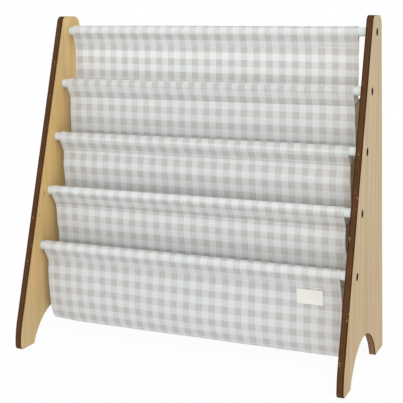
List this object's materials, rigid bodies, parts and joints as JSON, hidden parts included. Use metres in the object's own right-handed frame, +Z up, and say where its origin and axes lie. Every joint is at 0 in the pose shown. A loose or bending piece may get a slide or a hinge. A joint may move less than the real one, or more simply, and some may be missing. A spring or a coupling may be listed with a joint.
{
  "type": "sling bookshelf",
  "caption": "Child's front-facing bookshelf: raked plywood sides joined by bolted bars, with a gingham cloth slung between them in stepped book pockets.",
  "frame": {"origin": "on the floor, under the middle of the shelf's width and depth", "axes": "+X to the shelf's right as seen from the front, -Y towards the reader in front, +Z up"},
  "size_m": [0.616, 0.286, 0.61],
  "materials": {
    "birch_ply": "clear satin lacquer, with dark brown cut edges",
    "white_paint": "satin powder coat",
    "dark_steel": "black zinc",
    "zinc_steel": "zinc plated",
    "gingham_cloth": "plain-weave gingham check in white and taupe",
    "label_cotton": "bare cream cotton tape"
  },
  "bodies": {
    "root": {"side_panel_left": "birch_ply", "side_panel_right": "birch_ply", "bar_1": "white_paint", "bar_plug_1_left": "zinc_steel", "bolt_1_left": "dark_steel", "bar_plug_1_right": "zinc_steel", "bolt_1_right": "dark_steel", "bar_2": "white_paint", "bar_plug_2_left": "zinc_steel", "bolt_2_left": "dark_steel", "bar_plug_2_right": "zinc_steel", "bolt_2_right": "dark_steel", "bar_3": "white_paint", "bar_plug_3_left": "zinc_steel", "bolt_3_left": "dark_steel", "bar_plug_3_right": "zinc_steel", "bolt_3_right": "dark_steel", "bar_4": "white_paint", "bar_plug_4_left": "zinc_steel", "bolt_4_left": "dark_steel", "bar_plug_4_right": "zinc_steel", "bolt_4_right": "dark_steel", "bar_5": "white_paint", "bar_plug_5_left": "zinc_steel", "bolt_5_left": "dark_steel", "bar_plug_5_right": "zinc_steel", "bolt_5_right": "dark_steel", "sling_1": "gingham_cloth", "sling_2": "gingham_cloth", "sling_3": "gingham_cloth", "sling_4": "gingham_cloth", "label": "label_cotton"}
  },
  "joints": []
}
